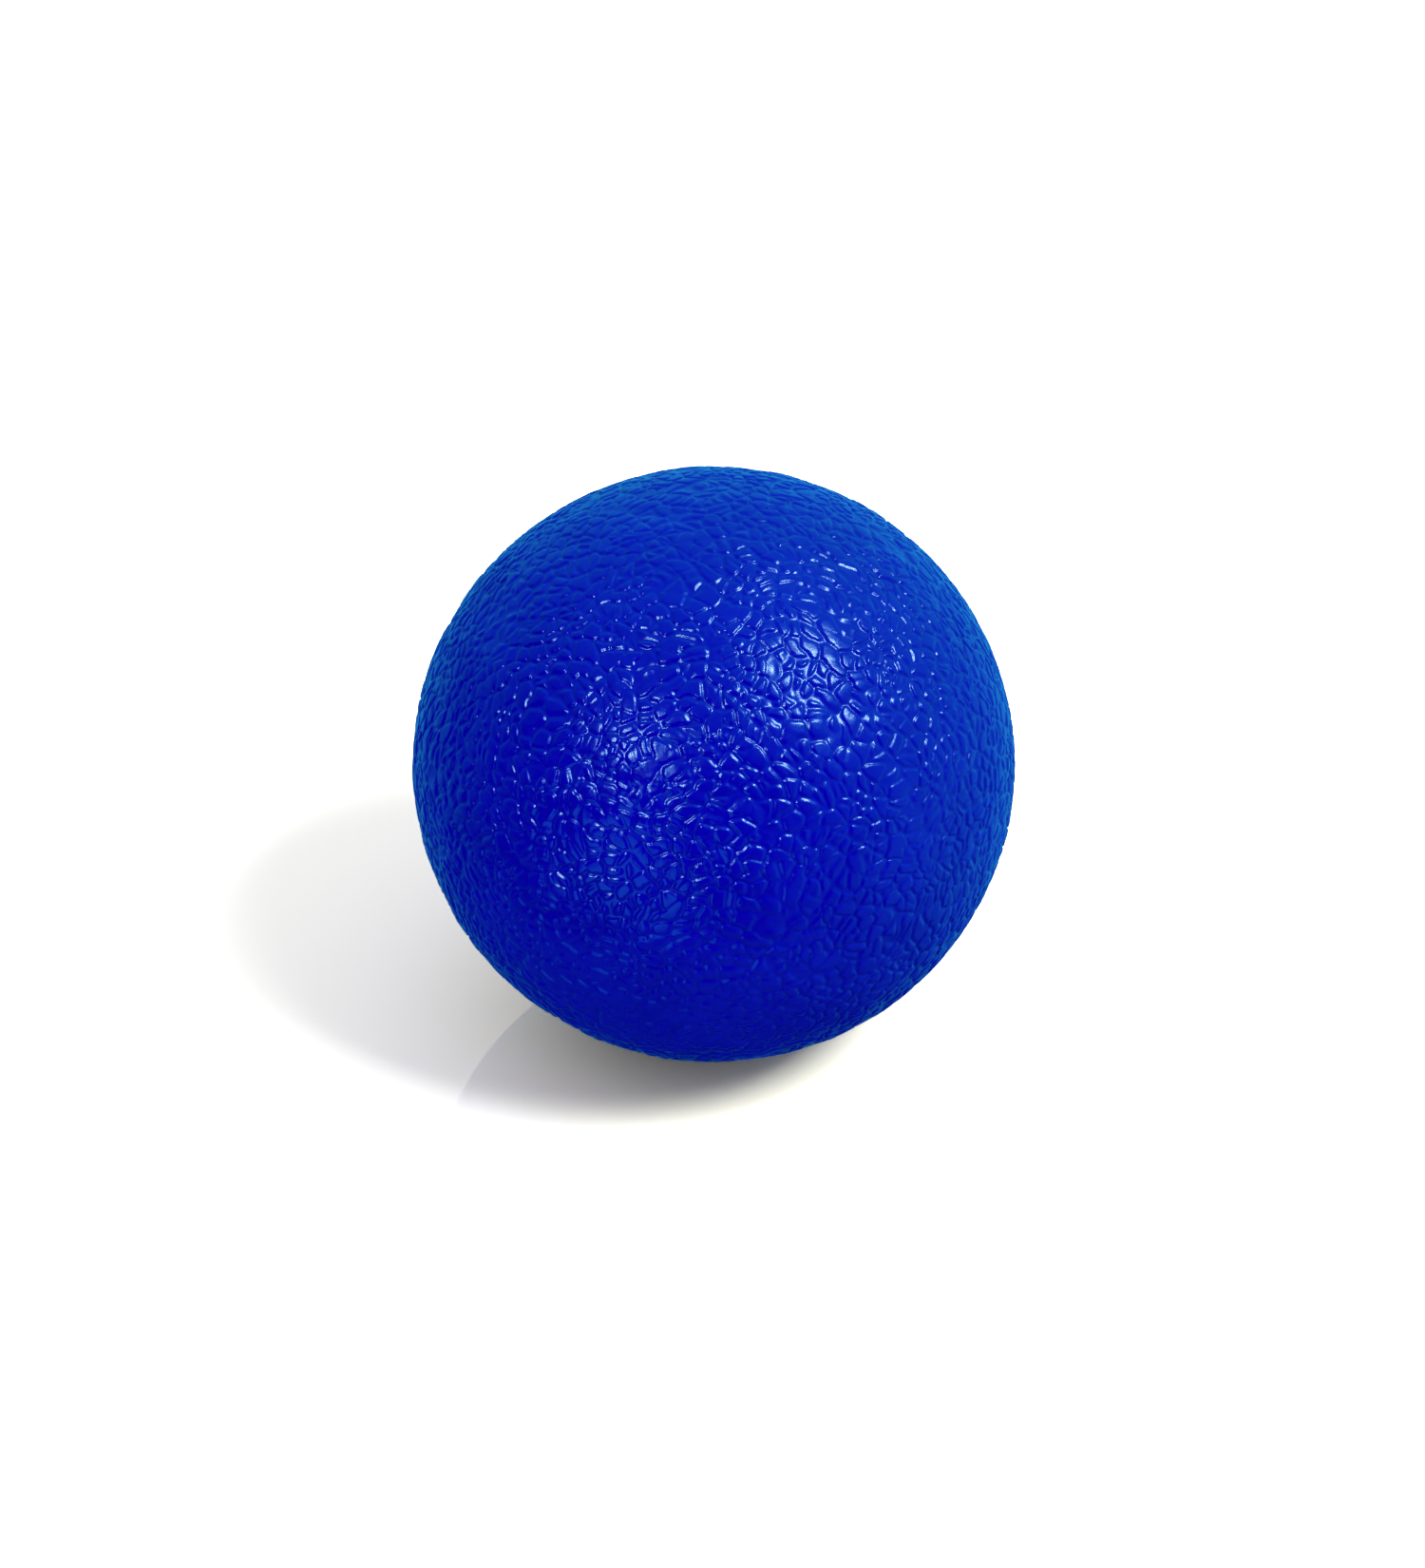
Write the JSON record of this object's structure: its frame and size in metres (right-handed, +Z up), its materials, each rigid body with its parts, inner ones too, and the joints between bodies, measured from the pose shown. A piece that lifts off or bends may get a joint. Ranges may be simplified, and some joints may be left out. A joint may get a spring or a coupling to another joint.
{
  "type": "stress ball",
  "caption": "Soft leather-grained squeeze ball: a two-half moulded cover bonded round a plugged bladder of gel, resting on a small pressed flat.",
  "frame": {"origin": "centre of the small flat on which the ball rests", "axes": "+Z up through the ball's poles, square to the parting line of the two cover halves"},
  "size_m": [0.065, 0.065, 0.0634],
  "materials": {
    "cover": "glossy leather-grained soft PVC",
    "bladder": "smooth translucent rubber",
    "gel": "wet clear gel",
    "plug": "satin white rubber"
  },
  "bodies": {
    "base": {"cover_lower": "cover", "bladder": "bladder", "gel_filling": "gel", "fill_plug": "plug"},
    "crown": {"cover_upper": "cover"}
  },
  "joints": [
    {"name": "squeeze", "type": "slide", "parent": "base", "child": "crown", "axis": [0, 0, -1], "range_m": [0, 0.022], "stiffness_N_per_m": 2000, "deforming": ["cover_lower", "cover_upper", "bladder", "gel_filling", "fill_plug"]}
  ]
}
